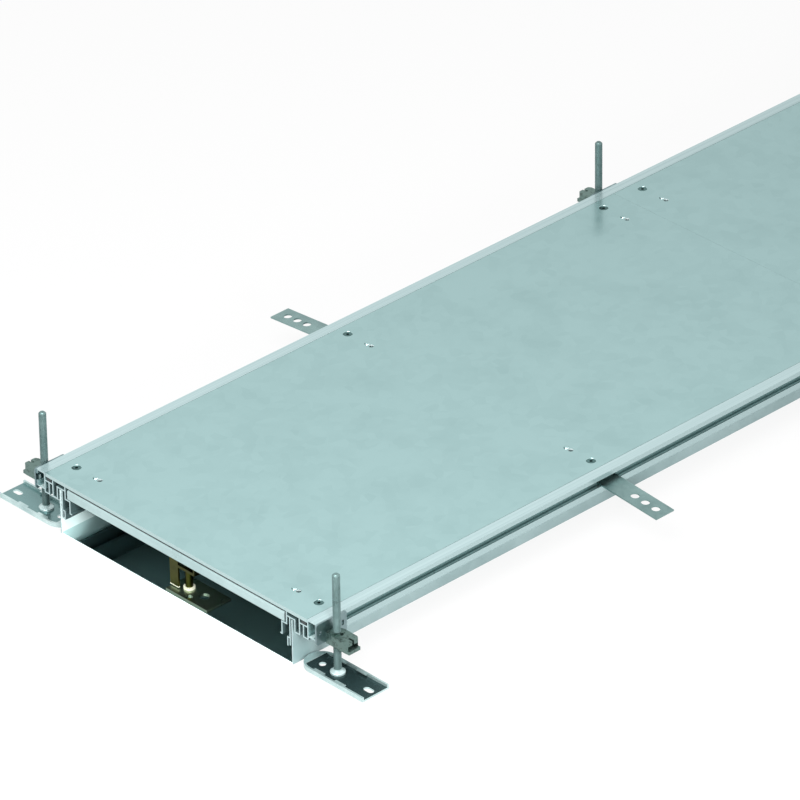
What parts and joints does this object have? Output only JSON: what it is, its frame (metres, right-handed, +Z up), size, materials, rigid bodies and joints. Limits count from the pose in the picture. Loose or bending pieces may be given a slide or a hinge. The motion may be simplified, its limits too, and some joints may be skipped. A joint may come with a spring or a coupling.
{
  "type": "underfloor cable duct",
  "caption": "Flat height-adjustable underfloor cable duct: sheet tray, aluminium side profiles, flush screwed cover plates, threaded levelling feet and screed anchors.",
  "frame": {"origin": "on the floor under the middle of the unit", "axes": "+X across the duct to its right side, +Y along the duct away from the front end, +Z up"},
  "size_m": [0.5588, 2.403, 0.1145],
  "materials": {
    "galvanised_tray": "hot-dip galvanised sheet",
    "aluminium_profile": "mill-finish extrusion",
    "rubber_seal": "moulded rubber strip",
    "galvanised_cover": "hot-dip galvanised plate with faint spangle",
    "screw_steel": "blackened steel",
    "galvanised_crossbar": "galvanised sheet",
    "passivated_support": "yellow passivated zinc plating",
    "zinc_plated_foot": "bright zinc plating",
    "zinc_plated_spindle": "bright zinc plating",
    "cast_block": "raw zinc die casting",
    "zinc_plated_bracket": "dull zinc plating",
    "galvanised_anchor": "galvanised strip"
  },
  "bodies": {
    "base": {"base_tray": "galvanised_tray", "support_post_1": "passivated_support", "support_post_2": "passivated_support", "support_post_3": "passivated_support", "support_post_4": "passivated_support", "foot_plate_left_1": "zinc_plated_foot", "foot_plate_left_2": "zinc_plated_foot", "foot_plate_left_3": "zinc_plated_foot", "foot_plate_left_4": "zinc_plated_foot", "foot_plate_right_1": "zinc_plated_foot", "foot_plate_right_2": "zinc_plated_foot", "foot_plate_right_3": "zinc_plated_foot", "foot_plate_right_4": "zinc_plated_foot", "spindle_left_1": "zinc_plated_spindle", "spindle_left_2": "zinc_plated_spindle", "spindle_left_3": "zinc_plated_spindle", "spindle_left_4": "zinc_plated_spindle", "spindle_right_1": "zinc_plated_spindle", "spindle_right_2": "zinc_plated_spindle", "spindle_right_3": "zinc_plated_spindle", "spindle_right_4": "zinc_plated_spindle"},
    "upper_frame": {"side_profile_left": "aluminium_profile", "side_profile_right": "aluminium_profile", "cover_seals": "rubber_seal", "cover_plate_1": "galvanised_cover", "cover_plate_2": "galvanised_cover", "cover_plate_3": "galvanised_cover", "cover_screws_1": "screw_steel", "cover_screws_2": "screw_steel", "cover_screws_3": "screw_steel", "crossbar_1": "galvanised_crossbar", "crossbar_2": "galvanised_crossbar", "crossbar_3": "galvanised_crossbar", "crossbar_4": "galvanised_crossbar", "support_bracket_1": "passivated_support", "support_bracket_2": "passivated_support", "support_bracket_3": "passivated_support", "support_bracket_4": "passivated_support", "levelling_block_left_1": "cast_block", "levelling_block_left_2": "cast_block", "levelling_block_left_3": "cast_block", "levelling_block_left_4": "cast_block", "levelling_block_right_1": "cast_block", "levelling_block_right_2": "cast_block", "levelling_block_right_3": "cast_block", "levelling_block_right_4": "cast_block", "bracket_plate_left_1": "zinc_plated_bracket", "bracket_plate_left_2": "zinc_plated_bracket", "bracket_plate_left_3": "zinc_plated_bracket", "bracket_plate_left_4": "zinc_plated_bracket", "bracket_plate_right_1": "zinc_plated_bracket", "bracket_plate_right_2": "zinc_plated_bracket", "bracket_plate_right_3": "zinc_plated_bracket", "bracket_plate_right_4": "zinc_plated_bracket", "screed_anchor_left_1": "galvanised_anchor", "screed_anchor_left_2": "galvanised_anchor", "screed_anchor_left_3": "galvanised_anchor", "screed_anchor_right_1": "galvanised_anchor", "screed_anchor_right_2": "galvanised_anchor", "screed_anchor_right_3": "galvanised_anchor"}
  },
  "joints": [
    {"name": "height_adjust", "type": "slide", "parent": "base", "child": "upper_frame", "axis": [0, 0, 1], "range_m": [0, 0.025]}
  ]
}
